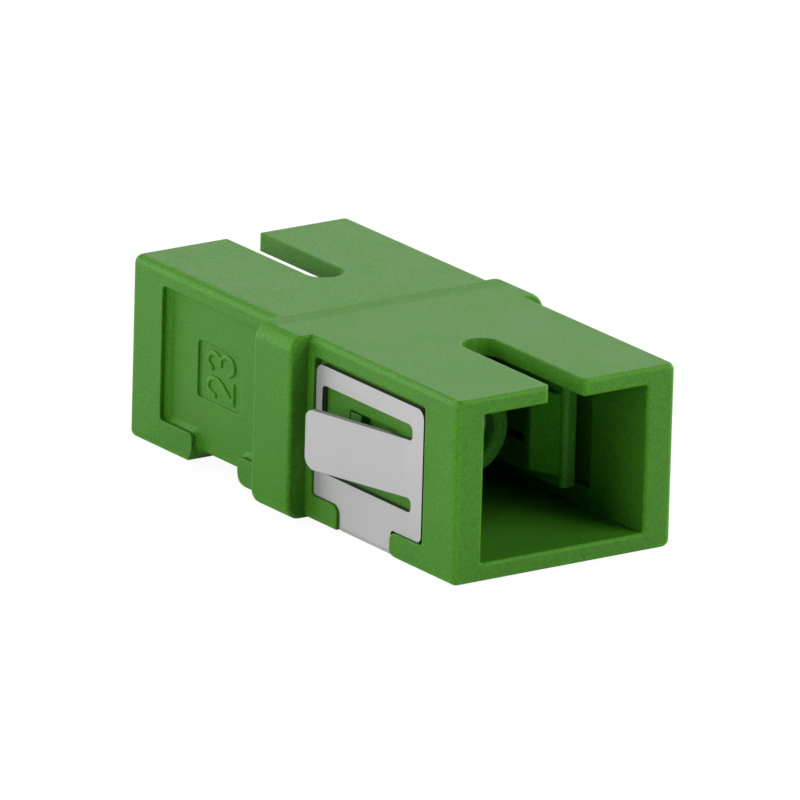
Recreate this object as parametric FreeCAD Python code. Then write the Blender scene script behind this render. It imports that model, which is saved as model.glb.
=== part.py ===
import FreeCAD, Part
import math
import os

# Fibre optic adapter for push-pull plugs with a square body, in millimetres.
# X is the light path, and the port beside the spring clip faces +X.
# Z is up, towards the keyways. The origin is the middle of the box around the body.

Vector = FreeCAD.Vector

# Body of the housing
body_length = 27.84
body_width = 12.8
body_height = 9.36
top_edge_radius = 0.45
bottom_edge_radius = 0.4
port_face_edge_radius = 0.33

# Passage that runs through the housing and opens as a port at each end
port_width = 9.54
port_height = 7.46
port_corner_radius = 0.1
port_mouth_chamfer = 0.12

# Keyways in the top wall, one at each port
keyway_width = 2.04
keyway_length = 8.17
keyway_mouth_radius = 0.3

# Collar round the middle that stops the body against the back of a panel
collar_front = 1.39
collar_rear = -1.78
collar_width = 14.94
collar_top_corner_radius = 0.95
collar_bottom_corner_radius = 0.82
collar_edge_radius = 0.2

# The top drops a little from the rear half of the mould to the front half
top_step = 0.08
top_step_start = -1.5
top_step_length = 0.8

# Recesses in both sides, one pair in each half, which narrow to a channel under the body
recess_depth = 0.45
recess_corner_radius = 0.25

# Front recesses, which take the spring clip; top and bottom are distances from the top and underside
front_recess_start = 1.84
front_recess_end = 11.25
front_recess_top_margin = 1.0
front_recess_bottom_margin = 1.34
front_channel_start = 4.05
front_channel_end = 8.52
front_channel_depth = 0.35
front_channel_bend_radius = 0.05
front_channel_foot_radius = 0.5
front_channel_shoulder_radius = 0.45

# Rear recesses, which stay empty; distances along X are counted towards the rear port
rear_recess_start = 2.2
rear_recess_end = 11.25
rear_recess_top_margin = 0.93
rear_recess_bottom_margin = 1.55
rear_channel_start = 4.47
rear_channel_end = 8.45
rear_channel_depth = 0.5
rear_channel_bend_radius = 0.6
rear_channel_foot_radius = 0.85
rear_channel_start_shoulder_radius = 0.35
rear_channel_end_shoulder_radius = 0.25
rear_recess_foot_chamfer = 0.2

# Pocket for the cavity number of the mould, in the rear recess of one side
number_pocket_length = 3.73
number_pocket_height = 2.88
number_pocket_middle_x = -6.84
number_pocket_middle_z = 0.18
number_pocket_depth = 0.12
number_pocket_radius = 0.2

# Pockets in the floors of the front recesses, with room for the pressed spring tongues
tongue_pocket_start = 4.33
tongue_pocket_end = 8.42
tongue_pocket_height = 2.64
tongue_pocket_middle = 0.28
tongue_pocket_depth = 0.4
tongue_pocket_radius = 0.2

# Windows through the side walls at one end of the pockets, for the snap lugs
window_length = 1.12

# Relief pockets inside the side walls, where the latch arms spring outwards
relief_start = 5.3
relief_end = 9.35
relief_depth = 0.45
relief_side_gap = 0.1

# Latch holders, two mouldings back to back in the middle of the passage
holder_fit_gap = 0.08
flange_thickness = 1.2
flange_corner_radius = 0.35
holder_end_gap = 0.05
stop_rib_thickness = 0.8
stop_rib_height = 0.65
stop_rib_width = 5.0
stop_rib_root = 0.3
dowel_radius = 0.5
dowel_length = 0.7
dowel_offset = 3.85
dowel_gap = 0.05

# Barrel of each holder, which keeps the sleeve on the light path
barrel_radius = 2.27
barrel_lip_thickness = 0.85
barrel_lip_bore_radius = 1.44
barrel_edge_chamfer = 0.2
barrel_root_radius = 0.3

# Latch arms left and right of the barrel
arm_inner_offset = 3.435
arm_thickness = 0.8
arm_tip = 8.93
arm_height = 5.3
arm_tip_inner_radius = 0.3
arm_tip_outer_radius = 0.15
hook_height = 4.12
hook_crest_offset = 2.7
hook_crest = 7.2
hook_crest_flat = 0.25
hook_back_slope = 0.12

# Snap tabs cut free in the arms of the front holder
tab_thickness = 0.5
tab_height = 2.4
tab_root = 2.0
tab_slit = 0.3
slit_reach = 0.2
lug_length = 0.98
lug_ramp_length = 0.12
lug_end_gap = 0.04
lug_sink = 0.02

# Split sleeve that lines up two ferrules
sleeve_length = 10.4
sleeve_outer_radius = 1.6
sleeve_inner_radius = 1.245
sleeve_slit_width = 0.55
sleeve_edge_chamfer = 0.1
sleeve_side_gap = 0.05
sleeve_end_gap = 0.05

# Spring clip folded from one strip of sheet
sheet_thickness = 0.3
clip_gap = 0.03
plate_start = 1.9
plate_end = 10.97
plate_top_gap = 0.32
plate_top_radius = 0.5
plate_start_foot_radius = 0.2
plate_end_foot_radius = 0.35
strap_side_gap = 0.07
strap_start_shoulder_radius = 0.5
strap_end_shoulder_radius = 0.2

# Spring tongue in each plate, bent out to hold the panel against the collar
slot_start = 2.43
slot_end = 10.05
slot_top = 2.37
slot_bottom = -2.02
slot_outer_radius = 0.35
slot_inner_radius = 0.25
tongue_root = 9.76
tongue_root_top = 1.59
tongue_root_bottom = -1.33
tongue_tip_top = 1.57
tongue_tip_bottom = -1.44
tongue_length = 6.85
tongue_overreach = 0.234
tongue_bend_radius = 1.2
tongue_anchor = 0.6
tongue_top_corner_radius = 0.45
tongue_bottom_corner_radius = 0.65

# Lengths that follow from the sizes above
half_length = body_length / 2
half_width = body_width / 2
half_height = body_height / 2
recess_floor = half_width - recess_depth
front_recess_top = half_height - front_recess_top_margin
front_recess_bottom = -half_height + front_recess_bottom_margin
front_channel_ceiling = -half_height + front_channel_depth
arm_outer_offset = arm_inner_offset + arm_thickness
barrel_length = sleeve_length / 2 + sleeve_end_gap + barrel_lip_thickness
clip_inner_y = recess_floor + clip_gap
clip_inner_z = front_channel_ceiling - clip_gap
plate_top = front_recess_top - plate_top_gap
tongue_rise = collar_width / 2 + tongue_overreach - clip_inner_y - sheet_thickness
tongue_angle = math.asin(tongue_rise / tongue_length)

# How far a cutter runs past the faces that it opens
overcut = 1.0

# How near two numbers count as the same place
tolerance = 1e-4


def rounded_outline(corners, radii):
    """Closed wire through the corners, each rounded by its radius; a radius of 0 stays sharp."""
    count = len(corners)
    starts = []
    ends = []
    middles = []
    for index, corner in enumerate(corners):
        back = (corners[index - 1] - corner).normalize()
        ahead = (corners[(index + 1) % count] - corner).normalize()
        half_angle = back.getAngle(ahead) / 2
        reach = radii[index] / math.tan(half_angle)
        inward = (back + ahead).normalize()
        starts.append(corner + back * reach)
        ends.append(corner + ahead * reach)
        middles.append(corner + inward * (radii[index] / math.sin(half_angle) - radii[index]))
    edges = []
    for index in range(count):
        if radii[index] > 0:
            edges.append(Part.Arc(starts[index], middles[index], ends[index]).toShape())
        edges.append(Part.makeLine(ends[index], starts[(index + 1) % count]))
    return Part.Wire(edges)


def prism(corners, radii, travel):
    """Solid that an outline sweeps on its way along the travel vector."""
    return Part.Face(rounded_outline(corners, radii)).extrude(travel)


def lengthwise_bar(x_start, x_end, y_start, y_end, z_start, z_end, bottom_radius, top_radius):
    """Bar along X whose section is a rectangle with rounded corners."""
    corners = [
        Vector(x_start, y_start, z_start),
        Vector(x_start, y_end, z_start),
        Vector(x_start, y_end, z_end),
        Vector(x_start, y_start, z_end),
    ]
    radii = [bottom_radius, bottom_radius, top_radius, top_radius]
    return prism(corners, radii, Vector(x_end - x_start, 0, 0))


def sideways_bar(corners, radii, y_start, y_end):
    """Bar along Y with an outline given as (x, z) corners."""
    points = [Vector(x, y_start, z) for x, z in corners]
    return prism(points, radii, Vector(0, y_end - y_start, 0))


def upright_bar(corners, radii, z_start, z_end):
    """Bar along Z with an outline given as (x, y) corners."""
    points = [Vector(x, y, z_start) for x, y in corners]
    return prism(points, radii, Vector(0, 0, z_end - z_start))


def turned(corners):
    """Solid of revolution about the light path, with a sharp outline given as (x, radius) corners."""
    points = [Vector(x, 0, radius) for x, radius in corners]
    profile = Part.Face(rounded_outline(points, [0] * len(points)))
    return profile.revolve(Vector(0, 0, 0), Vector(1, 0, 0), 360)


def rectangle(x_start, x_end, other_start, other_end):
    """Four corners of a rectangle, as pairs."""
    return [
        (x_start, other_start),
        (x_end, other_start),
        (x_end, other_end),
        (x_start, other_end),
    ]


def rod(radius, x_start, x_end, y=0):
    """Round rod along X, as high as the light path."""
    return Part.makeCylinder(radius, x_end - x_start, Vector(x_start, y, 0), Vector(1, 0, 0))


def other_side(shape):
    """Copy of a shape on the other side of the plane Y = 0."""
    return shape.mirror(Vector(0, 0, 0), Vector(0, 1, 0))


def other_end(shape):
    """Copy of a shape on the other side of the plane X = 0."""
    return shape.mirror(Vector(0, 0, 0), Vector(1, 0, 0))


def on_both_sides(shape):
    """A shape with its copy on the other side."""
    return [shape, other_side(shape)]


def edges_across(shape, x, reach_y, reach_z):
    """Edges of a shape that lie in the plane X = x, within reach of the middle."""
    found = []
    for edge in shape.Edges:
        box = edge.BoundBox
        flat = box.XLength < tolerance and abs(box.XMin - x) < tolerance
        near_y = max(-box.YMin, box.YMax) <= reach_y + tolerance
        near_z = max(-box.ZMin, box.ZMax) <= reach_z + tolerance
        if flat and near_y and near_z:
            found.append(edge)
    return found


def body_bar():
    """Outer form of the body, rounded along its edges and at both port faces."""
    bar = lengthwise_bar(-half_length, half_length, -half_width, half_width,
                         -half_height, half_height, bottom_edge_radius, top_edge_radius)
    for x in (-half_length, half_length):
        bar = bar.makeFillet(port_face_edge_radius, edges_across(bar, x, half_width, half_height))
    return bar


def collar():
    """Rounded band round the middle, still solid inside."""
    side = collar_width / 2
    band = lengthwise_bar(collar_rear, collar_front, -side, side, -half_height, half_height,
                          collar_bottom_corner_radius, collar_top_corner_radius)
    for x in (collar_rear, collar_front):
        band = band.makeFillet(collar_edge_radius, edges_across(band, x, side, half_height))
    return band


def passage():
    """Cutter for the passage from port to port."""
    return lengthwise_bar(-half_length - overcut, half_length + overcut,
                          -port_width / 2, port_width / 2, -port_height / 2, port_height / 2,
                          port_corner_radius, port_corner_radius)


def keyway():
    """Cutter for the keyway of the front port, round inside and flared a little at the port face."""
    side = keyway_width / 2
    round_middle = half_length - keyway_length + side
    mouth = half_length
    corners = [
        (round_middle, -side),
        (mouth, -side),
        (mouth, -side - overcut),
        (mouth + overcut, -side - overcut),
        (mouth + overcut, side + overcut),
        (mouth, side + overcut),
        (mouth, side),
        (round_middle, side),
    ]
    radii = [0, keyway_mouth_radius, 0, 0, 0, 0, keyway_mouth_radius, 0]
    slot = upright_bar(corners, radii, 0, body_height)
    return slot.fuse(Part.makeCylinder(side, body_height, Vector(round_middle, 0, 0)))


def recess_outline(start, end, top, bottom, channel_start, channel_end, radii):
    """Cutter across the whole housing with the side outline of a recess and its channel."""
    below = -half_height - overcut
    corners = [
        (start, top),
        (end, top),
        (end, bottom),
        (channel_end, bottom),
        (channel_end, -half_height),
        (channel_end + overcut, -half_height),
        (channel_end + overcut, below),
        (channel_start - overcut, below),
        (channel_start - overcut, -half_height),
        (channel_start, -half_height),
        (channel_start, bottom),
        (start, bottom),
    ]
    return sideways_bar(corners, radii, -half_width - overcut, half_width + overcut)


def recess_core(channel_depth, bend_radius):
    """What stays of the housing inside the floors of two recesses and the ceiling of their channel."""
    return lengthwise_bar(0, half_length, -recess_floor, recess_floor,
                          -half_height + channel_depth, body_height, bend_radius, 0)


def front_recess():
    """Cutter for the side recesses of the front half, with the channel for the strap of the clip."""
    corner = recess_corner_radius
    shoulder = front_channel_shoulder_radius
    foot = front_channel_foot_radius
    radii = [corner, corner, corner, shoulder, foot, 0, 0, 0, 0, foot, shoulder, corner]
    outline = recess_outline(front_recess_start, front_recess_end, front_recess_top, front_recess_bottom,
                             front_channel_start, front_channel_end, radii)
    return outline.cut(recess_core(front_channel_depth, front_channel_bend_radius))


def rear_recess():
    """Cutter for the side recesses of the rear half, whose walls are bevelled at the floor."""
    corner = recess_corner_radius
    foot = rear_channel_foot_radius
    radii = [corner, corner, corner, rear_channel_end_shoulder_radius, foot, 0,
             0, 0, 0, foot, rear_channel_start_shoulder_radius, corner]
    outline = recess_outline(rear_recess_start, rear_recess_end, half_height - rear_recess_top_margin,
                             -half_height + rear_recess_bottom_margin,
                             rear_channel_start, rear_channel_end, radii)
    cutter = outline.cut(recess_core(rear_channel_depth, rear_channel_bend_radius))
    foot_edges = [edge for edge in cutter.Edges if lies_on_rear_wall_foot(edge)]
    return other_end(cutter.makeChamfer(rear_recess_foot_chamfer, foot_edges))


def lies_on_rear_wall_foot(edge):
    """Whether an edge of the rear recess cutter runs where the walls meet the floor of a recess."""
    box = edge.BoundBox
    on_floor = box.YLength < tolerance and abs(abs(box.YMin) - recess_floor) < tolerance
    channel_bend_end = -half_height + rear_channel_depth + rear_channel_bend_radius
    return on_floor and box.ZMin > channel_bend_end + tolerance


def number_pocket():
    """Cutter for the shallow pocket that carries the cavity number."""
    half_x = number_pocket_length / 2
    half_z = number_pocket_height / 2
    corners = rectangle(number_pocket_middle_x - half_x, number_pocket_middle_x + half_x,
                        number_pocket_middle_z - half_z, number_pocket_middle_z + half_z)
    floor = -recess_floor + number_pocket_depth
    return sideways_bar(corners, [number_pocket_radius] * 4, -half_width, floor)


def tongue_pocket():
    """Cutter for the pocket in the floor of one front recess."""
    half = tongue_pocket_height / 2
    corners = rectangle(tongue_pocket_start, tongue_pocket_end,
                        tongue_pocket_middle - half, tongue_pocket_middle + half)
    return sideways_bar(corners, [tongue_pocket_radius] * 4, recess_floor - tongue_pocket_depth, half_width)


def window():
    """Cutter for the window through the side wall, at the start of the tongue pocket."""
    half = tongue_pocket_height / 2
    corners = rectangle(tongue_pocket_start, tongue_pocket_start + window_length,
                        tongue_pocket_middle - half, tongue_pocket_middle + half)
    return sideways_bar(corners, [tongue_pocket_radius, 0, 0, tongue_pocket_radius], 0, half_width)


def relief_pocket():
    """Cutter for the pocket inside one side wall of the front half."""
    half = arm_height / 2 + relief_side_gap
    floor = port_width / 2 + relief_depth
    corners = rectangle(relief_start, relief_end, -half, half)
    return sideways_bar(corners, [0] * 4, 0, floor)


def top_wedge():
    """Cutter that lowers the top of the front half by the step between the mould halves."""
    lower = half_height - top_step
    corners = [
        (top_step_start, half_height),
        (top_step_start + top_step_length, lower),
        (half_length + overcut, lower),
        (half_length + overcut, half_height + overcut),
        (top_step_start, half_height + overcut),
    ]
    return sideways_bar(corners, [0] * len(corners), -collar_width, collar_width)


def stop_rib():
    """Rib under the top wall that the holder flange comes up against."""
    start = flange_thickness + holder_end_gap
    return lengthwise_bar(start, start + stop_rib_thickness, -stop_rib_width / 2, stop_rib_width / 2,
                          port_height / 2 - stop_rib_height, port_height / 2 + stop_rib_root, 0, 0)


def housing():
    """The green moulding: body, collar, ports, keyways, recesses, windows and stop ribs."""
    shape = body_bar().fuse(collar()).removeSplitter().cut(passage())
    for x in (-half_length, half_length):
        shape = shape.makeChamfer(port_mouth_chamfer, edges_across(shape, x, port_width / 2, port_height / 2))
    rib = stop_rib()
    shape = shape.fuse([rib, rib.mirror(Vector(0, 0, 0), Vector(0, 0, 1))]).removeSplitter()
    cutters = [
        keyway(),
        other_end(keyway()),
        front_recess(),
        rear_recess(),
        number_pocket(),
        top_wedge(),
    ]
    cutters += on_both_sides(tongue_pocket())
    cutters += on_both_sides(window())
    cutters += on_both_sides(relief_pocket())
    cutters += on_both_sides(other_end(relief_pocket()))
    for cutter in cutters:
        shape = shape.cut(cutter)
    return shape


def latch_arm():
    """Latch arm on the +Y side: a flat arm with a hook that faces the barrel."""
    plate = upright_bar(rectangle(flange_thickness / 2, arm_tip, arm_inner_offset, arm_outer_offset),
                        [0, arm_tip_inner_radius, arm_tip_outer_radius, 0], -arm_height / 2, arm_height / 2)
    hook_root = arm_inner_offset + arm_thickness / 2
    crest_back = hook_crest - hook_crest_flat
    hook_back = crest_back - hook_back_slope
    ramp_end = arm_tip - arm_tip_inner_radius
    hook_corners = [
        (ramp_end, arm_inner_offset),
        (ramp_end, hook_root),
        (hook_back, hook_root),
        (hook_back, arm_inner_offset),
        (crest_back, hook_crest_offset),
        (hook_crest, hook_crest_offset),
    ]
    hook_radii = [0, 0, 0, 0, 0, hook_crest_flat / 2]
    hook = upright_bar(hook_corners, hook_radii, -hook_height / 2, hook_height / 2)
    return plate.fuse(hook).removeSplitter()


def tab_clearance():
    """Cutter for the slits round the snap tab and for the room behind it, on the +Y side."""
    tab_end = tongue_pocket_start + lug_end_gap + lug_length
    bottom = tongue_pocket_middle - tab_height / 2
    top = tongue_pocket_middle + tab_height / 2
    frame = sideways_bar(rectangle(tab_root, tab_end + tab_slit, bottom - tab_slit, top + tab_slit),
                         [tab_slit / 2] * 4, arm_inner_offset - slit_reach, arm_outer_offset + slit_reach)
    tab = sideways_bar(rectangle(0, tab_end, bottom, top), [0] * 4,
                       arm_outer_offset - tab_thickness, arm_outer_offset + overcut)
    return frame.cut(tab)


def snap_lug():
    """Wedge on the free end of the snap tab that stands in the window, on the +Y side."""
    start = tongue_pocket_start + lug_end_gap
    end = start + lug_length
    crest = recess_floor - lug_sink
    seat = arm_outer_offset - tab_thickness / 2
    corners = [
        (start, seat),
        (end, seat),
        (end, port_width / 2),
        (end - lug_ramp_length, crest),
        (start, crest),
    ]
    bottom = tongue_pocket_middle - tab_height / 2
    return upright_bar(corners, [0] * len(corners), bottom, bottom + tab_height)


def barrel_cavity():
    """Cutter for the sleeve's seat and for the smaller opening in the lip of the barrel."""
    seat = rod(sleeve_outer_radius + sleeve_side_gap, -overcut, barrel_length - barrel_lip_thickness)
    opening = rod(barrel_lip_bore_radius, 0, barrel_length + overcut)
    funnel = Part.makeCone(barrel_lip_bore_radius, barrel_lip_bore_radius + barrel_edge_chamfer,
                           barrel_edge_chamfer, Vector(barrel_length - barrel_edge_chamfer, 0, 0),
                           Vector(1, 0, 0))
    return seat.fuse([opening, funnel])


def barrel():
    """Barrel with a bevelled end and a bevelled root on the flange."""
    return turned([
        (0, 0),
        (0, barrel_radius + barrel_root_radius),
        (flange_thickness, barrel_radius + barrel_root_radius),
        (flange_thickness + barrel_root_radius, barrel_radius),
        (barrel_length - barrel_edge_chamfer, barrel_radius),
        (barrel_length, barrel_radius - barrel_edge_chamfer),
        (barrel_length, 0),
    ])


def plain_holder():
    """Latch holder of the front half without snap tabs."""
    half_y = port_width / 2 - holder_fit_gap
    half_z = port_height / 2 - holder_fit_gap
    flange = lengthwise_bar(0, flange_thickness, -half_y, half_y, -half_z, half_z,
                            flange_corner_radius, flange_corner_radius)
    shape = flange.fuse([barrel()] + on_both_sides(latch_arm())).removeSplitter()
    shape = shape.cut(barrel_cavity())
    dowel = rod(dowel_radius, -dowel_length, flange_thickness / 2, dowel_offset)
    socket = rod(dowel_radius + dowel_gap, -overcut, dowel_length + dowel_gap, -dowel_offset)
    return shape.fuse(dowel).cut(socket)


def front_latch_holder():
    """Holder that faces the front port, with snap tabs that lock both holders in the housing."""
    shape = plain_holder()
    for clearance in on_both_sides(tab_clearance()):
        shape = shape.cut(clearance)
    return shape.fuse(on_both_sides(snap_lug())).removeSplitter()


def rear_latch_holder():
    """The plain holder turned round to face the rear port."""
    shape = plain_holder()
    shape.rotate(Vector(0, 0, 0), Vector(0, 0, 1), 180)
    return shape


def alignment_sleeve():
    """Split sleeve: a thin tube with a slit along the top and bevelled ends."""
    half = sleeve_length / 2
    bevel = sleeve_edge_chamfer
    tube = turned([
        (-half + bevel, sleeve_outer_radius),
        (half - bevel, sleeve_outer_radius),
        (half, sleeve_outer_radius - bevel),
        (half, sleeve_inner_radius + bevel),
        (half - bevel, sleeve_inner_radius),
        (-half + bevel, sleeve_inner_radius),
        (-half, sleeve_inner_radius + bevel),
        (-half, sleeve_outer_radius - bevel),
    ])
    slit = lengthwise_bar(-sleeve_length, sleeve_length, -sleeve_slit_width / 2, sleeve_slit_width / 2,
                          0, sleeve_outer_radius + overcut, 0, 0)
    return tube.cut(slit)


def folded_channel():
    """Sheet folded to a U round the underside, as long as the plates and not yet trimmed."""
    outer_y = clip_inner_y + sheet_thickness
    outer_z = clip_inner_z - sheet_thickness
    inner_radius = front_channel_bend_radius + clip_gap
    outer_radius = inner_radius + sheet_thickness
    outer = lengthwise_bar(plate_start, plate_end, -outer_y, outer_y, outer_z, plate_top, outer_radius, 0)
    inner = lengthwise_bar(plate_start - overcut, plate_end + overcut, -clip_inner_y, clip_inner_y,
                           clip_inner_z, plate_top + overcut, inner_radius, 0)
    return outer.cut(inner)


def clip_outline():
    """Side outline of the clip: two wide plates on a narrower strap."""
    strap_start = front_channel_start + strap_side_gap
    strap_end = front_channel_end - strap_side_gap
    plate_foot = front_recess_bottom + clip_gap
    below = -half_height - overcut
    corners = [
        (plate_start, plate_top),
        (plate_end, plate_top),
        (plate_end, plate_foot),
        (strap_end, plate_foot),
        (strap_end, below),
        (strap_start, below),
        (strap_start, plate_foot),
        (plate_start, plate_foot),
    ]
    radii = [
        plate_top_radius,
        plate_top_radius,
        plate_end_foot_radius,
        strap_end_shoulder_radius,
        0,
        0,
        strap_start_shoulder_radius,
        plate_start_foot_radius,
    ]
    return sideways_bar(corners, radii, -collar_width, collar_width)


def tongue_opening():
    """Cutter for the opening in both plates: room for the tongue and a slot along each side of it."""
    corners = [
        (slot_start, slot_bottom),
        (slot_end, slot_bottom),
        (slot_end, tongue_root_bottom),
        (tongue_root, tongue_root_bottom),
        (tongue_root, tongue_root_top),
        (slot_end, tongue_root_top),
        (slot_end, slot_top),
        (slot_start, slot_top),
    ]
    outer = slot_outer_radius
    inner = slot_inner_radius
    return sideways_bar(corners, [inner, inner, inner, 0, 0, inner, outer, inner], -collar_width, collar_width)


def tongue_strip():
    """The bent strip of the tongue on the +Y side, as high as the body."""
    angle = tongue_angle
    near_y = clip_inner_y + sheet_thickness
    bend_middle = Vector(tongue_root, near_y + tongue_bend_radius, 0)
    along = Vector(-math.cos(angle), math.sin(angle), 0)
    straight = tongue_length - tongue_bend_radius * angle

    def on_bend(radius, turn):
        return bend_middle + Vector(-math.sin(turn), -math.cos(turn), 0) * radius

    near = tongue_bend_radius
    far = tongue_bend_radius + sheet_thickness
    anchor_near = Vector(tongue_root + tongue_anchor, near_y, 0)
    anchor_far = Vector(tongue_root + tongue_anchor, clip_inner_y, 0)
    near_end = on_bend(near, angle) + along * straight
    far_end = on_bend(far, angle) + along * straight
    edges = [
        Part.makeLine(anchor_near, on_bend(near, 0)),
        Part.Arc(on_bend(near, 0), on_bend(near, angle / 2), on_bend(near, angle)).toShape(),
        Part.makeLine(on_bend(near, angle), near_end),
        Part.makeLine(near_end, far_end),
        Part.makeLine(far_end, on_bend(far, angle)),
        Part.Arc(on_bend(far, angle), on_bend(far, angle / 2), on_bend(far, 0)).toShape(),
        Part.makeLine(on_bend(far, 0), anchor_far),
        Part.makeLine(anchor_far, anchor_near),
    ]
    strip = Part.Face(Part.Wire(edges)).extrude(Vector(0, 0, body_height))
    strip.translate(Vector(0, 0, -half_height))
    return strip


def tongue_outline():
    """Side outline of the tongue, which widens a little towards its rounded tip."""
    tip = tongue_root - tongue_length * math.cos(tongue_angle)
    anchor = tongue_root + tongue_anchor
    corners = [
        (anchor, tongue_root_top),
        (tongue_root, tongue_root_top),
        (tip, tongue_tip_top),
        (tip, tongue_tip_bottom),
        (tongue_root, tongue_root_bottom),
        (anchor, tongue_root_bottom),
    ]
    radii = [0, 0, tongue_top_corner_radius, tongue_bottom_corner_radius, 0, 0]
    return sideways_bar(corners, radii, 0, body_width)


def panel_clip():
    """The folded spring clip with its two plates, the strap under the body and both tongues."""
    blank = folded_channel().common(clip_outline()).cut(tongue_opening())
    tongue = tongue_strip().common(tongue_outline())
    return blank.fuse(on_both_sides(tongue)).removeSplitter()


def main():
    """Build every node and write it to its own file."""
    nodes = {
        "housing": housing,
        "front_latch_holder": front_latch_holder,
        "rear_latch_holder": rear_latch_holder,
        "alignment_sleeve": alignment_sleeve,
        "panel_clip": panel_clip,
    }
    os.makedirs("parts", exist_ok=True)
    for name, build in nodes.items():
        shape = build()
        shape.exportStep("parts/" + name + ".step")
        print(name, "solids", len(shape.Solids), "valid", shape.isValid(), "volume", round(shape.Volume, 3))


main()
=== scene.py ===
"""Looks of a green fibre optic adapter with a folded spring clip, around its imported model.

The frame is in metres: +X runs along the light path and out of the port beside the visible side of
the clip, +Z is up towards the keyways, and the origin is the middle of the box round the part.
"""

import logging
import math
from dataclasses import dataclass, field
from enum import Enum
from typing import Any, Sequence

import bmesh
import bpy
from mathutils import Matrix, Vector


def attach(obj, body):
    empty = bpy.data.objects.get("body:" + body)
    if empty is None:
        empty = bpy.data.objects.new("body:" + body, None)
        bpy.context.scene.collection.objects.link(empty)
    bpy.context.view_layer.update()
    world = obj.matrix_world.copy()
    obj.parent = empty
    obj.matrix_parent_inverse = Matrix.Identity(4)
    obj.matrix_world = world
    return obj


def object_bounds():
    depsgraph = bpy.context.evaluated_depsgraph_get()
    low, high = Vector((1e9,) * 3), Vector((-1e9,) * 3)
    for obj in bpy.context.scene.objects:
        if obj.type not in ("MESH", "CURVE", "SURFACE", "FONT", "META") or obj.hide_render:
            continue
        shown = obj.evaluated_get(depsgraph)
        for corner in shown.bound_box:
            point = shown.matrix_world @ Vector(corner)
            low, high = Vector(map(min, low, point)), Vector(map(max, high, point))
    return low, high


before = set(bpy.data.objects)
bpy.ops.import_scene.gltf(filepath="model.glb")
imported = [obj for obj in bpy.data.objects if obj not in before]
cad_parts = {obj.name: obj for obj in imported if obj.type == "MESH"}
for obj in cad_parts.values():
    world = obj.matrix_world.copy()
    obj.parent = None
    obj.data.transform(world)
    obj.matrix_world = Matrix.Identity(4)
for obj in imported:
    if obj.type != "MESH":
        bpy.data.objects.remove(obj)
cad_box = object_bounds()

log = logging.getLogger("adapter")

MM = 0.001
BODY = "root"
WHITE = (1.0, 1.0, 1.0, 1.0)

Colour = tuple[float, float, float]
Range = tuple[float, float]


class Slot(Enum):
    """Material slot of the record whose finish the cavity number shares; nothing in the script reads it."""

    HOUSING = "housing_plastic"


class Grain(Enum):
    """How a moulded or ground surface feels, as the height of its grain in millimetres."""

    SPARK_ERODED = 0.006
    SMOOTH = 0.0022
    GROUND = 0.0012


class Detail(Enum):
    """How many octaves a cloudy pattern has, each finer than the one before."""

    PLAIN = 1.0
    FINE = 2.0
    CLOUDY = 3.0


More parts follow.
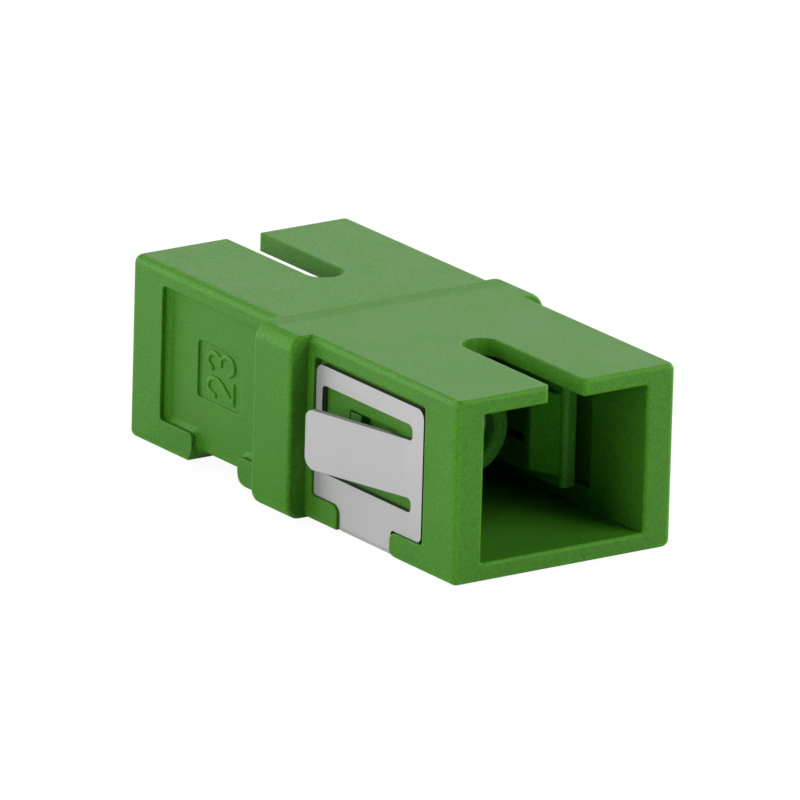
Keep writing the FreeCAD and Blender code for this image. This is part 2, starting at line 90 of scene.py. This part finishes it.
class MaterialGraph:
    """A material with its node tree, and short ways to add nodes and links to it."""

    def __init__(self, name: str) -> None:
        """Start an empty graph.

        Args:
            name: Name of the material.
        """
        self.material = bpy.data.materials.new(name)
        self.material.use_nodes = True
        self.tree = self.material.node_tree
        self.tree.nodes.clear()

    def node(self, kind: str, inputs: dict[str | int, Any] | None = None, **options: Any) -> bpy.types.Node:
        """Add one node.

        Args:
            kind: Type of the node.
            inputs: Values and source sockets, by the name or number of the input that takes them.
            **options: Properties of the node itself.

        Returns:
            The new node.
        """
        made = self.tree.nodes.new(kind)
        for option, value in options.items():
            setattr(made, option, value)
        for socket, value in (inputs or {}).items():
            self.feed(made, socket, value)
        return made

    def feed(self, target: bpy.types.Node, socket: str | int, value: Any) -> None:
        """Link a source socket to an input, or set the input's own value.

        Args:
            target: Node that owns the input.
            socket: Name or number of the input.
            value: Source socket, number, colour or vector.
        """
        if isinstance(value, bpy.types.NodeSocket):
            self.tree.links.new(value, target.inputs[socket])
        else:
            target.inputs[socket].default_value = value

    def coordinates(self) -> bpy.types.NodeSocket:
        """Give the coordinates fixed to the part, in metres."""
        return self.node("ShaderNodeTexCoord").outputs["Object"]

    def combine(self, operation: str, *values: Any) -> bpy.types.NodeSocket:
        """Work out one value from others.

        Args:
            operation: Name of the operation.
            *values: Source sockets and numbers, in the operation's order.

        Returns:
            The result.
        """
        return self.node("ShaderNodeMath", dict(enumerate(values)), operation=operation).outputs["Value"]

    def directions(self, normal: bpy.types.NodeSocket) -> bpy.types.Node:
        """Split a normal into how far it points each way.

        Args:
            normal: Normal of the surface.

        Returns:
            A node whose outputs X, Y and Z go from 0 to 1, whichever of the two ways the normal points.
        """
        sizes = self.node("ShaderNodeVectorMath", {0: normal}, operation="ABSOLUTE")
        return self.node("ShaderNodeSeparateXYZ", {"Vector": sizes.outputs["Vector"]})

    def noise(self, size_mm: float, detail: Detail, place: bpy.types.NodeSocket) -> bpy.types.NodeSocket:
        """Cloudy pattern fixed to the part.

        Args:
            size_mm: Rough size of one cloud in millimetres.
            detail: How fine the pattern gets.
            place: Coordinates that the pattern follows.

        Returns:
            The pattern's height, from 0 to 1.
        """
        made = self.node("ShaderNodeTexNoise", {
            "Vector": place, "Scale": 1 / (size_mm * MM), "Detail": detail.value})
        return made.outputs["Fac"]

    def span(self, height: bpy.types.NodeSocket, low: float, high: float,
             from_low: float = 0.3, from_high: float = 0.7) -> bpy.types.NodeSocket:
        """Spread a pattern over a range of values.

        Args:
            height: Pattern from 0 to 1.
            low: Value at its low places.
            high: Value at its high places.
            from_low: Pattern value that gives the low value.
            from_high: Pattern value that gives the high value.

        Returns:
            The spread value.
        """
        made = self.node("ShaderNodeMapRange", {
            "Value": height, "From Min": from_low, "From Max": from_high, "To Min": low, "To Max": high})
        return made.outputs["Result"]

    def swing(self, height: bpy.types.NodeSocket, middle: float, spread: float) -> bpy.types.NodeSocket:
        """Spread a pattern evenly over both sides of a middle value."""
        return self.span(height, middle - spread, middle + spread)

    def relief(self, height: bpy.types.NodeSocket, depth_mm: float,
               normal: bpy.types.NodeSocket | None = None) -> bpy.types.NodeSocket:
        """Raise and sink the surface by a pattern.

        Args:
            height: Pattern from 0 to 1.
            depth_mm: How far its high places stand above its low ones, in millimetres.
            normal: Normal to start from, where it isn't the surface's own.

        Returns:
            The normal of the relief.
        """
        made = self.node("ShaderNodeBump", {"Height": height, "Distance": depth_mm * MM, "Strength": 1.0})
        if normal is not None:
            self.feed(made, "Normal", normal)
        return made.outputs["Normal"]

    def scaled(self, colour: Colour, factor: bpy.types.NodeSocket) -> bpy.types.NodeSocket:
        """A colour made lighter or darker by a pattern.

        Args:
            colour: Linear colour.
            factor: Pattern round 1.

        Returns:
            The varied colour.
        """
        made = self.node("ShaderNodeVectorMath", {0: colour, "Scale": factor}, operation="SCALE")
        return made.outputs["Vector"]

    def finish(self, shader: bpy.types.Node, output: str = "BSDF") -> bpy.types.Material:
        """Close the graph with its surface output.

        Args:
            shader: Last shader node.
            output: Name of its output.

        Returns:
            The finished material.
        """
        self.node("ShaderNodeOutputMaterial", {"Surface": shader.outputs[output]})
        return self.material


@dataclass(frozen=True)
class PlasticFinish:
    """Moulded plastic with a fine grain and faint clouds, and soft edges that are less glossy and made
    lighter by a painted highlight.

    Attributes:
        name: Name of the material.
        colour: Linear colour of the flat faces.
        grain: Kind of grain.
        grain_size_mm: Size of the grain.
        speckle_depth: Share by which the grain changes the colour.
        cloud_size_mm: Size of the clouds.
        cloud_depth: Share by which the clouds change the colour.
        roughness: Middle of the roughness.
        roughness_spread: How far the clouds take the roughness up and down.
        gloss: Specular level of the flat faces.
        edge_radius_mm: Radius of the soft edges.
        edge_samples: Rays that look for an edge.
        edge_highlight_gain: Share by which a painted highlight makes the edges lighter.
        edge_gloss: Share of the gloss that the edges keep.
        highlight_range: Squareness where the painted highlight on the edges is strongest, and where it
            starts.
        gloss_range: Squareness where the edges have least gloss, and where they start to lose it.
    """

    name: str
    colour: Colour
    grain: Grain = Grain.SPARK_ERODED
    grain_size_mm: float = 0.11
    speckle_depth: float = 0.2
    cloud_size_mm: float = 2.6
    cloud_depth: float = 0.04
    roughness: float = 0.5
    roughness_spread: float = 0.04
    gloss: float = 0.28
    edge_radius_mm: float = 0.14
    edge_samples: int = 6
    edge_highlight_gain: float = 0.29
    edge_gloss: float = 0.55
    highlight_range: Range = (0.96, 0.999)
    gloss_range: Range = (0.9, 0.998)

    def material(self) -> bpy.types.Material:
        """Build the material.

        Returns:
            A Principled material whose colour, roughness and relief vary over the surface.
        """
        graph = MaterialGraph(self.name)
        place = graph.coordinates()
        grain = graph.noise(self.grain_size_mm, Detail.FINE, place)
        clouds = graph.noise(self.cloud_size_mm, Detail.CLOUDY, place)
        bevel = graph.node("ShaderNodeBevel", {"Radius": self.edge_radius_mm * MM}, samples=self.edge_samples)
        soft_normal = bevel.outputs["Normal"]
        squareness = self.squareness(graph, soft_normal)
        speckle = graph.swing(grain, 1, self.speckle_depth)
        cloudy = graph.swing(clouds, 1, self.cloud_depth)
        # Painted highlight: edges and roundings are made lighter, standing in for the light that falls on
        # them.
        edge = graph.span(squareness, 1 + self.edge_highlight_gain, 1.0, *self.highlight_range)
        tone = graph.combine("MULTIPLY", graph.combine("MULTIPLY", speckle, cloudy), edge)
        shader = graph.node("ShaderNodeBsdfPrincipled", {
            "Base Color": graph.scaled(self.colour, tone),
            "Roughness": graph.swing(clouds, self.roughness, self.roughness_spread),
            "Specular IOR Level": graph.span(
                squareness, self.gloss * self.edge_gloss, self.gloss, *self.gloss_range),
            "Normal": graph.relief(grain, self.grain.value, soft_normal),
        })
        return graph.finish(shader)

    def squareness(self, graph: MaterialGraph, soft_normal: bpy.types.NodeSocket) -> bpy.types.NodeSocket:
        """Tell flat faces, which face one of the part's own three directions, from edges and roundings, which
        get a painted highlight and less gloss.

        Args:
            graph: Graph that takes the nodes.
            soft_normal: Normal that bends round the edges.

        Returns:
            A value of 1 on flat faces, and less along the edges and roundings.
        """
        facing = graph.directions(soft_normal).outputs
        return graph.combine("MAXIMUM", graph.combine("MAXIMUM", facing["X"], facing["Y"]), facing["Z"])


@dataclass(frozen=True)
class SteelFinish:
    """Spring steel with faint rolling lines along the strip, a dark line along its edges, and painted shade
    on the cut faces of its plates.

    Attributes:
        name: Name of the material.
        colour: Linear colour of the sheet's faces.
        metallic: Share of metal in the shading.
        roughness: Middle of the roughness.
        roughness_spread: How far the lines take the roughness up and down.
        line_size_mm: Width of a rolling line.
        line_stretch: How many times longer than wide it is.
        line_height_mm: Height of the lines.
        stain_size_mm: Size of the stains.
        stain_depth: Share by which the stains change the colour.
        edge_width_mm: Width of the dark line along every edge.
        edge_samples: Rays that look for an edge.
        edge_tone: Share of the colour that this line keeps.
        edge_range: Agreement of true and soft normal where the line is darkest, and where it starts.
        cut_shade_tone: Share of the colour that the cut faces of the plates keep, a painted shade for the
            dark gaps round the plates.
        cut_range: How far a face looks sideways where it counts as cut, and where it counts as sheet.
        strap_top_mm: Height below which the strap and its bends lie, where faces that look down are sheet.
        tongue_reach_mm: Distance from the middle beyond which only the tongues stand, whose cut faces get no
            painted shade.
    """

    name: str
    colour: Colour
    metallic: float = 0.65
    roughness: float = 0.55
    roughness_spread: float = 0.05
    line_size_mm: float = 0.05
    line_stretch: float = 60.0
    line_height_mm: float = 0.0006
    stain_size_mm: float = 3.5
    stain_depth: float = 0.02
    edge_width_mm: float = 0.06
    edge_samples: int = 8
    edge_tone: float = 0.35
    edge_range: Range = (0.8, 0.99)
    cut_shade_tone: float = 0.2
    cut_range: Range = (0.5, 0.7)
    strap_top_mm: float = -4.0
    tongue_reach_mm: float = 6.36

    def material(self) -> bpy.types.Material:
        """Build the material.

        Returns:
            A metallic material with fine lines that run up the plates.
        """
        graph = MaterialGraph(self.name)
        place = graph.coordinates()
        along = graph.node("ShaderNodeMapping", {"Vector": place, "Scale": (1.0, 1.0, 1 / self.line_stretch)})
        lines = graph.noise(self.line_size_mm, Detail.FINE, along.outputs["Vector"])
        stains = graph.noise(self.stain_size_mm, Detail.CLOUDY, place)
        stained = graph.swing(stains, 1, self.stain_depth)
        tone = graph.combine("MULTIPLY", stained, self.edge_shade(graph, place))
        shader = graph.node("ShaderNodeBsdfPrincipled", {
            "Base Color": graph.scaled(self.colour, tone),
            "Metallic": self.metallic,
            "Roughness": graph.swing(lines, self.roughness, self.roughness_spread),
            "Normal": graph.relief(lines, self.line_height_mm),
        })
        return graph.finish(shader)

    def edge_shade(self, graph: MaterialGraph, place: bpy.types.NodeSocket) -> bpy.types.NodeSocket:
        """Paint shade on the cut faces of the plates, and darken all of the sheet in a thin line along its
        edges.

        Args:
            graph: Graph that takes the nodes.
            place: Coordinates on the clip.

        Returns:
            A factor of 1 on the sheet's faces, and less along its edges and on its cut faces.
        """
        normal = graph.node("ShaderNodeNewGeometry").outputs["Normal"]
        bevel = graph.node("ShaderNodeBevel", {"Radius": self.edge_width_mm * MM}, samples=self.edge_samples)
        agreement = graph.node(
            "ShaderNodeVectorMath", {0: normal, 1: bevel.outputs["Normal"]}, operation="DOT_PRODUCT")
        line = graph.span(agreement.outputs["Value"], self.edge_tone, 1.0, *self.edge_range)
        # Painted shade: the cut faces of the plates are darkened to stand in for the shade in the gaps round
        # the plates.
        cut = graph.span(self.sheet_face(graph, place, normal), self.cut_shade_tone, 1.0, *self.cut_range)
        return graph.combine("MINIMUM", line, cut)

    def sheet_face(self, graph: MaterialGraph, place: bpy.types.NodeSocket,
                   normal: bpy.types.NodeSocket) -> bpy.types.NodeSocket:
        """Tell the faces of the sheet from the faces where its plates were cut.

        Args:
            graph: Graph that takes the nodes.
            place: Coordinates on the clip.
            normal: Normal of the surface.

        Returns:
            About 1 on both sides of the plates and the strap and all over the tongues, and about 0 on the
            other cut faces.
        """
        facing = graph.directions(normal).outputs
        spot = graph.node("ShaderNodeSeparateXYZ", {"Vector": place}).outputs
        reach = graph.combine("ABSOLUTE", spot["Y"])
        tongue = graph.combine("GREATER_THAN", reach, self.tongue_reach_mm * MM)
        strap = graph.combine("LESS_THAN", spot["Z"], self.strap_top_mm * MM)
        strap_face = graph.combine("MULTIPLY", facing["Z"], strap)
        return graph.combine("MAXIMUM", graph.combine("MAXIMUM", facing["Y"], tongue), strap_face)


@dataclass(frozen=True)
class CeramicFinish:
    """White zirconia, ground fine all round.

    Attributes:
        name: Name of the material.
        colour: Linear colour at its lightest.
        grain: Kind of grain.
        roughness: Middle of the roughness.
        roughness_spread: How far the rings take the roughness up and down.
        ring_size_mm: Width of a grinding ring.
        ring_stretch: How many times longer than wide it is.
        ring_depth: Share by which the rings darken the colour.
    """

    name: str
    colour: Colour
    grain: Grain = Grain.GROUND
    roughness: float = 0.28
    roughness_spread: float = 0.05
    ring_size_mm: float = 0.08
    ring_stretch: float = 20.0
    ring_depth: float = 0.03

    def material(self) -> bpy.types.Material:
        """Build the material.

        Returns:
            A pale glossy material with faint grinding rings round the light path.
        """
        graph = MaterialGraph(self.name)
        around = (1.0, 1 / self.ring_stretch, 1 / self.ring_stretch)
        stretched = graph.node("ShaderNodeMapping", {"Vector": graph.coordinates(), "Scale": around})
        rings = graph.noise(self.ring_size_mm, Detail.PLAIN, stretched.outputs["Vector"])
        shader = graph.node("ShaderNodeBsdfPrincipled", {
            "Base Color": graph.scaled(self.colour, graph.span(rings, 1 - self.ring_depth, 1.0)),
            "Roughness": graph.swing(rings, self.roughness, self.roughness_spread),
            "Normal": graph.relief(rings, self.grain.value),
        })
        return graph.finish(shader)


@dataclass(frozen=True)
class PaperFinish:
    """White backdrop paper that stays white to the camera and keeps the object's shadow.

    Attributes:
        name: Name of the material.
        colour: Linear colour of the paper at its lightest.
        fibre_size_mm: Size of its fibres.
        fibre_depth: Share by which the fibres darken the colour.
        glow: Brightness of the plain white that is mixed in.
        whiteness: Share of that white in what the camera sees, through glass too.
        mirrored_whiteness: Share of that white in what glossy faces mirror.
    """

    name: str
    colour: Colour = (0.9, 0.9, 0.9)
    fibre_size_mm: float = 0.4
    fibre_depth: float = 0.01
    glow: float = 1.1
    whiteness: float = 0.85
    mirrored_whiteness: float = 0.2

    def material(self) -> bpy.types.Material:
        """Build the material.

        Returns:
            Matt paper, mixed with plain white for what the camera and mirror-like faces see of it.
        """
        graph = MaterialGraph(self.name)
        fibres = graph.noise(self.fibre_size_mm, Detail.FINE, graph.coordinates())
        paper = graph.node("ShaderNodeBsdfDiffuse", {
            "Color": graph.scaled(self.colour, graph.span(fibres, 1 - self.fibre_depth, 1.0))})
        glow = graph.node("ShaderNodeEmission", {"Color": WHITE, "Strength": self.glow})
        rays = graph.node("ShaderNodeLightPath").outputs
        seen = graph.combine("MAXIMUM", rays["Is Camera Ray"], rays["Is Transmission Ray"])
        seen_share = graph.combine("MULTIPLY", seen, self.whiteness)
        share = graph.combine("MULTIPLY_ADD", rays["Is Glossy Ray"], self.mirrored_whiteness, seen_share)
        mixed = graph.node("ShaderNodeMixShader", {
            0: share, 1: paper.outputs["BSDF"], 2: glow.outputs["Emission"]})
        return graph.finish(mixed, "Shader")


def dress(piece: bpy.types.Object, material: bpy.types.Material) -> None:
    """Give a piece its one material, in its own material slots.

    Args:
        piece: Mesh object.
        material: Material that it gets.
    """
    if not piece.material_slots:
        piece.data.materials.append(material)
    for place in piece.material_slots:
        place.material = material


class Digit(Enum):
    """Strokes of a plain digit in a box of width 1 and height 1; a stroke ends where a sharp turn starts."""

    TWO = (
        ((0.08, 0.72), (0.24, 0.93), (0.52, 1.0), (0.84, 0.9), (0.93, 0.68), (0.78, 0.46), (0.42, 0.24),
         (0.06, 0.0)),
        ((0.06, 0.0), (0.5, 0.0), (0.96, 0.0)),
    )
    THREE = (
        ((0.1, 0.84), (0.3, 0.98), (0.6, 0.99), (0.85, 0.85), (0.84, 0.64), (0.64, 0.53), (0.38, 0.52)),
        ((0.38, 0.52), (0.7, 0.5), (0.93, 0.34), (0.9, 0.12), (0.62, 0.0), (0.28, 0.02), (0.07, 0.17)),
    )


@dataclass
class CavityNumber:
    """Raised number in the pocket of one side, which tells the cavities of the mould apart.

    Attributes:
        digits: The digits in reading order.
        middle_x_mm: Place of the pocket's middle along the light path.
        middle_z_mm: Height of the pocket's middle.
        floor_y_mm: Place of the pocket's floor across the part.
        digit_height_mm: Height of a digit.
        digit_width_mm: Width of a digit.
        digit_gap_mm: Gap between two digits.
        stroke_mm: Width of a stroke.
        relief_mm: Height of a stroke above the floor.
        root_depth_mm: How far a stroke goes on below the floor.
        points_per_turn: Points from one corner of a stroke to the next.
        crest_degrees: Directions of the points of a stroke's section.
        crest_fullness: Power that fills out the section towards a box; 1 leaves an ellipse.
        tip_degrees: Turns at which the sections of a round end lie.
        tip_share: Least size of a section, at the very tip.
    """

    digits: Sequence[Digit] = (Digit.TWO, Digit.THREE)
    middle_x_mm: float = -6.84
    middle_z_mm: float = 0.18
    floor_y_mm: float = -5.83
    digit_height_mm: float = 2.2
    digit_width_mm: float = 1.0
    digit_gap_mm: float = 0.32
    stroke_mm: float = 0.26
    relief_mm: float = 0.1
    root_depth_mm: float = 0.025
    points_per_turn: int = 6
    crest_degrees: Sequence[int] = (0, 30, 60, 90, 120, 150, 180)
    crest_fullness: float = 0.7
    tip_degrees: Sequence[int] = (0, 35, 65)
    tip_share: float = 0.12

    def build(self, material: bpy.types.Material) -> bpy.types.Object:
        """Make both digits as one piece and stand it on the floor of the pocket.

        Args:
            material: Plastic of the housing.

        Returns:
            The new piece.
        """
        mesh = bmesh.new()
        pitch = self.digit_width_mm + self.digit_gap_mm
        start = -(pitch * len(self.digits) - self.digit_gap_mm) / 2
        for index, digit in enumerate(self.digits):
            for stroke in digit.value:
                left = start + index * pitch
                self.add_stroke(mesh, [
                    Vector((left + x * self.digit_width_mm, (y - 0.5) * self.digit_height_mm, 0))
                    for x, y in stroke
                ])
        mesh.transform(self.placement())
        bmesh.ops.recalc_face_normals(mesh, faces=mesh.faces)
        data = bpy.data.meshes.new("cavity_number")
        mesh.to_mesh(data)
        mesh.free()
        for face in data.polygons:
            face.use_smooth = True
        piece = bpy.data.objects.new("cavity_number", data)
        bpy.context.scene.collection.objects.link(piece)
        dress(piece, material)
        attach(piece, BODY)
        return piece

    def placement(self) -> Matrix:
        """Move from the digits' own plane, in millimetres, to the pocket, in metres.

        Returns:
            The matrix; a digit's top points to the rear port, and the number reads upwards.
        """
        turn = Matrix(((0, -1, 0), (0, 0, -1), (1, 0, 0))).to_4x4()
        place = Vector((self.middle_x_mm, self.floor_y_mm, self.middle_z_mm)) * MM
        return Matrix.Translation(place) @ Matrix.Scale(MM, 4) @ turn

    def smooth_path(self, corners: Sequence[Vector]) -> list[Vector]:
        """Round a stroke's corners into one smooth line.

        Args:
            corners: Points that the line passes through.

        Returns:
            Closer points on the smooth line.
        """
        points = [corners[0] * 2 - corners[1], *corners, corners[-1] * 2 - corners[-2]]
        line: list[Vector] = []
        for before, first, second, after in zip(points, points[1:], points[2:], points[3:]):
            for step in range(self.points_per_turn):
                share = step / self.points_per_turn
                bend = (before * 2 - first * 5 + second * 4 - after) * share ** 2
                twist = (first * 3 - before - second * 3 + after) * share ** 3
                line.append((first * 2 + (second - before) * share + bend + twist) / 2)
        return [*line, corners[-1]]

    def add_stroke(self, mesh: bmesh.types.BMesh, corners: Sequence[Vector]) -> None:
        """Add one raised stroke with a rounded crest and rounded ends.

        Args:
            mesh: Mesh that takes the stroke.
            corners: Points along its middle.
        """
        line = self.smooth_path(corners)
        half = self.stroke_mm / 2
        last = len(line) - 1
        directions = [
            (line[min(index + 1, last)] - line[max(index - 1, 0)]).normalized() for index in range(len(line))
        ]
        first_way, last_way = directions[0], directions[-1]
        caps = [math.sin(math.radians(angle)) for angle in self.tip_degrees]
        reaches = [half * math.sqrt(1 - cap ** 2) for cap in caps]
        tips = list(zip(caps, reaches))
        stations = [(line[0] - first_way * reach, first_way, cap) for cap, reach in tips]
        stations += [(point, direction, 1.0) for point, direction in zip(line, directions)]
        stations += [(line[-1] + last_way * reach, last_way, cap) for cap, reach in reversed(tips)]
        rows = [self.add_section(mesh, point, direction, cap) for point, direction, cap in stations]
        for row, following in zip(rows, rows[1:]):
            for index in range(len(row)):
                beside = (index + 1) % len(row)
                mesh.faces.new((row[index], row[beside], following[beside], following[index]))
        mesh.faces.new(rows[0])
        mesh.faces.new(reversed(rows[-1]))

    def add_section(self, mesh: bmesh.types.BMesh, middle: Vector, along: Vector,
                    share: float) -> list[bmesh.types.BMVert]:
        """Add the vertices of one section across a stroke.

        Args:
            mesh: Mesh that takes them.
            middle: Point on the stroke's middle line.
            along: Direction of the stroke there.
            share: Size of the section, from 0 at a tip to 1.

        Returns:
            The section's vertices in order.
        """
        across = Vector((-along.y, along.x, 0)) * self.stroke_mm / 2
        size = max(share, self.tip_share)
        vertices = []
        for degrees in self.crest_degrees:
            angle = math.radians(degrees)
            crest = math.sin(angle) ** self.crest_fullness if 0 < degrees < 180 else 0.0
            spot = middle + across * size * math.cos(angle) + Vector((0, 0, self.relief_mm * size * crest))
            vertices.append(mesh.verts.new(spot))
        root = middle + Vector((0, 0, -self.root_depth_mm))
        vertices += [mesh.verts.new(root - across * size), mesh.verts.new(root + across * size)]
        return vertices


@dataclass
class Housing:
    """The green moulding with its collar, ports, keyways, recesses and cavity number."""

    finish: PlasticFinish = PlasticFinish("green_grained_plastic", (0.06, 0.237, 0.013))
    number: CavityNumber = field(default_factory=CavityNumber)

    def build(self) -> list[str]:
        """Dress the moulding and add its number.

        Returns:
            Names of the finished pieces.
        """
        material = self.finish.material()
        dress(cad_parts["housing"], material)
        return ["housing", self.number.build(material).name]


@dataclass
class LatchHolders:
    """The two mouldings back to back in the passage, with their barrels and latch arms."""

    finish: PlasticFinish = PlasticFinish(
        "green_smooth_plastic", (0.045, 0.215, 0.014), grain=Grain.SMOOTH, roughness=0.45)

    def build(self) -> list[str]:
        """Dress both holders.

        Returns:
            Names of the finished pieces.
        """
        material = self.finish.material()
        names = ["front_latch_holder", "rear_latch_holder"]
        for name in names:
            dress(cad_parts[name], material)
        return names


@dataclass
class AlignmentSleeve:
    """The split sleeve inside the barrels."""

    finish: CeramicFinish = CeramicFinish("white_zirconia", (0.86, 0.84, 0.78))

    def build(self) -> list[str]:
        """Dress the sleeve.

        Returns:
            Names of the finished pieces.
        """
        dress(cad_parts["alignment_sleeve"], self.finish.material())
        return ["alignment_sleeve"]


@dataclass
class PanelClip:
    """The folded spring clip with its two bent tongues."""

    finish: SteelFinish = SteelFinish("satin_spring_steel", (0.56, 0.56, 0.56))

    def build(self) -> list[str]:
        """Dress the clip.

        Returns:
            Names of the finished pieces.
        """
        dress(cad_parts["panel_clip"], self.finish.material())
        return ["panel_clip"]


@dataclass
class Softbox:
    """One square lamp that faces the part.

    Attributes:
        name: Name of the lamp.
        azimuth: Direction from the part, in degrees from +X towards +Y.
        elevation: Degrees above the floor.
        side: Length of its side in metres.
        irradiance: Light that it gives at the part, face on.
        distance: Distance from the part in metres.
    """

    name: str
    azimuth: float
    elevation: float
    side: float
    irradiance: float
    distance: float = 0.7

    def build(self) -> bpy.types.Object:
        """Place the lamp so that it gives its irradiance at the part.

        Returns:
            The lamp.
        """
        data = bpy.data.lights.new(self.name, "AREA")
        data.shape = "SQUARE"
        data.size = self.side
        data.energy = self.irradiance * math.pi * self.distance ** 2
        lamp = bpy.data.objects.new(self.name, data)
        turn = math.radians(self.azimuth)
        lift = math.radians(self.elevation)
        direction = Vector((math.cos(turn) * math.cos(lift), math.sin(turn) * math.cos(lift), math.sin(lift)))
        lamp.location = direction * self.distance
        lamp.rotation_euler = direction.to_track_quat("Z", "Y").to_euler()
        bpy.context.scene.collection.objects.link(lamp)
        return lamp


@dataclass
class StudioCamera:
    """Long lens far away, which looks at the port with the clip's side to the left.

    Attributes:
        azimuth: Direction from the part, in degrees from +X towards -Y.
        elevation: Degrees above the floor.
        roll: Degrees by which the camera leans.
        distance_mm: Distance from the target.
        focal_length_pixels: Focal length in pixels of the picture.
        image_pixels: Width of the picture in pixels.
        shift_right_mm: How far the camera stands to the right of its line to the target.
        shift_up_mm: How far it stands above that line.
        target_mm: Point that it looks at, before it is moved aside.
        sensor_mm: Width of the sensor.
        near_limit: Nearest distance that it sees, in metres.
        far_limit: Farthest distance that it sees, in metres.
    """

    azimuth: float = 35.181
    elevation: float = 17.403
    roll: float = 1.595
    distance_mm: float = 805.27
    focal_length_pixels: float = 16588.26
    image_pixels: int = 800
    shift_right_mm: float = 0.013
    shift_up_mm: float = -0.023
    target_mm: tuple[float, float, float] = (0.0, 0.0, -0.03)
    sensor_mm: float = 36.0
    near_limit: float = 0.05
    far_limit: float = 20.0

    def build(self) -> bpy.types.Object:
        """Make the camera and set it as the scene's camera.

        Returns:
            The camera.
        """
        turn = math.radians(self.azimuth)
        lift = math.radians(self.elevation)
        back = Vector((math.cos(lift) * math.cos(turn), -math.cos(lift) * math.sin(turn), math.sin(lift)))
        level = Vector((math.sin(turn), math.cos(turn), 0))
        upright = level.cross(-back)
        roll = math.radians(self.roll)
        right = level * math.cos(roll) + upright * math.sin(roll)
        up = upright * math.cos(roll) - level * math.sin(roll)
        offset = right * self.shift_right_mm + up * self.shift_up_mm + back * self.distance_mm
        axes = Matrix((right, up, back)).transposed().to_4x4()
        data = bpy.data.cameras.new("studio_camera")
        data.sensor_width = self.sensor_mm
        data.lens = self.focal_length_pixels * self.sensor_mm / self.image_pixels
        data.clip_start = self.near_limit
        data.clip_end = self.far_limit
        camera = bpy.data.objects.new("studio_camera", data)
        camera.matrix_world = Matrix.Translation((Vector(self.target_mm) + offset) * MM) @ axes
        bpy.context.scene.collection.objects.link(camera)
        bpy.context.scene.camera = camera
        return camera


@dataclass
class Studio:
    """White paper floor, a weak even light from all round and six softboxes.

    Attributes:
        floor_side: Length of the floor's side in metres.
        floor_gap: Gap between floor and part in metres.
        paper: Finish of the floor.
        dome_strength: Strength of the even light.
        backdrop_strength: Strength of what the camera sees past the floor; 1 is white.
        lamps: The softboxes.
        camera: The camera.
    """

    floor_side: float = 3.0
    floor_gap: float = 0.00001
    paper: PaperFinish = PaperFinish("white_paper")
    dome_strength: float = 0.02
    backdrop_strength: float = 1.0
    lamps: Sequence[Softbox] = (
        Softbox("rear_left_softbox", azimuth=-150.0, elevation=20.0, side=0.5, irradiance=1.95),
        Softbox("left_softbox", azimuth=-90.0, elevation=10.0, side=0.5, irradiance=1.75),
        Softbox("right_softbox", azimuth=100.0, elevation=20.0, side=0.4, irradiance=2.6),
        Softbox("rear_softbox", azimuth=145.0, elevation=22.0, side=0.6, irradiance=0.95),
        Softbox("port_softbox", azimuth=20.0, elevation=14.0, side=0.4, irradiance=0.55),
        Softbox("upper_softbox", azimuth=40.0, elevation=40.0, side=0.4, irradiance=1.5),
    )
    camera: StudioCamera = field(default_factory=StudioCamera)

    def build(self) -> list[str]:
        """Set up floor, sky, lamps and camera.

        Returns:
            Names of what stands in the studio.
        """
        floor = self.build_floor()
        self.build_dome()
        lamps = [lamp.build() for lamp in self.lamps]
        camera = self.camera.build()
        bpy.context.scene.view_settings.view_transform = "Standard"
        return [floor.name, *(lamp.name for lamp in lamps), camera.name]

    def build_floor(self) -> bpy.types.Object:
        """Lay the paper a hair below the part.

        Returns:
            The floor.
        """
        half = self.floor_side / 2
        level = cad_box[0][2] - self.floor_gap
        corners = [(-half, -half, level), (half, -half, level), (half, half, level), (-half, half, level)]
        data = bpy.data.meshes.new("paper_floor")
        data.from_pydata(corners, [], [(0, 1, 2, 3)])
        floor = bpy.data.objects.new("paper_floor", data)
        bpy.context.scene.collection.objects.link(floor)
        dress(floor, self.paper.material())
        return floor

    def build_dome(self) -> None:
        """Light the part evenly from all round, and stay white where the camera looks at it."""
        world = bpy.data.worlds.new("white_dome")
        world.use_nodes = True
        nodes = world.node_tree.nodes
        links = world.node_tree.links
        nodes.clear()
        rays = nodes.new("ShaderNodeLightPath")
        strength = nodes.new("ShaderNodeMapRange")
        strength.inputs["To Min"].default_value = self.dome_strength
        strength.inputs["To Max"].default_value = self.backdrop_strength
        links.new(rays.outputs["Is Camera Ray"], strength.inputs["Value"])
        sky = nodes.new("ShaderNodeBackground")
        sky.inputs["Color"].default_value = WHITE
        links.new(strength.outputs["Result"], sky.inputs["Strength"])
        output = nodes.new("ShaderNodeOutputWorld")
        links.new(sky.outputs["Background"], output.inputs["Surface"])
        bpy.context.scene.world = world


def main() -> None:
    """Build the studio and every piece in order, and report each one."""
    logging.basicConfig(level=logging.INFO, format="%(name)s: %(message)s")
    for part in (Studio(), Housing(), LatchHolders(), AlignmentSleeve(), PanelClip()):
        for name in part.build():
            log.info("%s: %s", type(part).__name__, name)


if __name__ == "__main__":
    main()
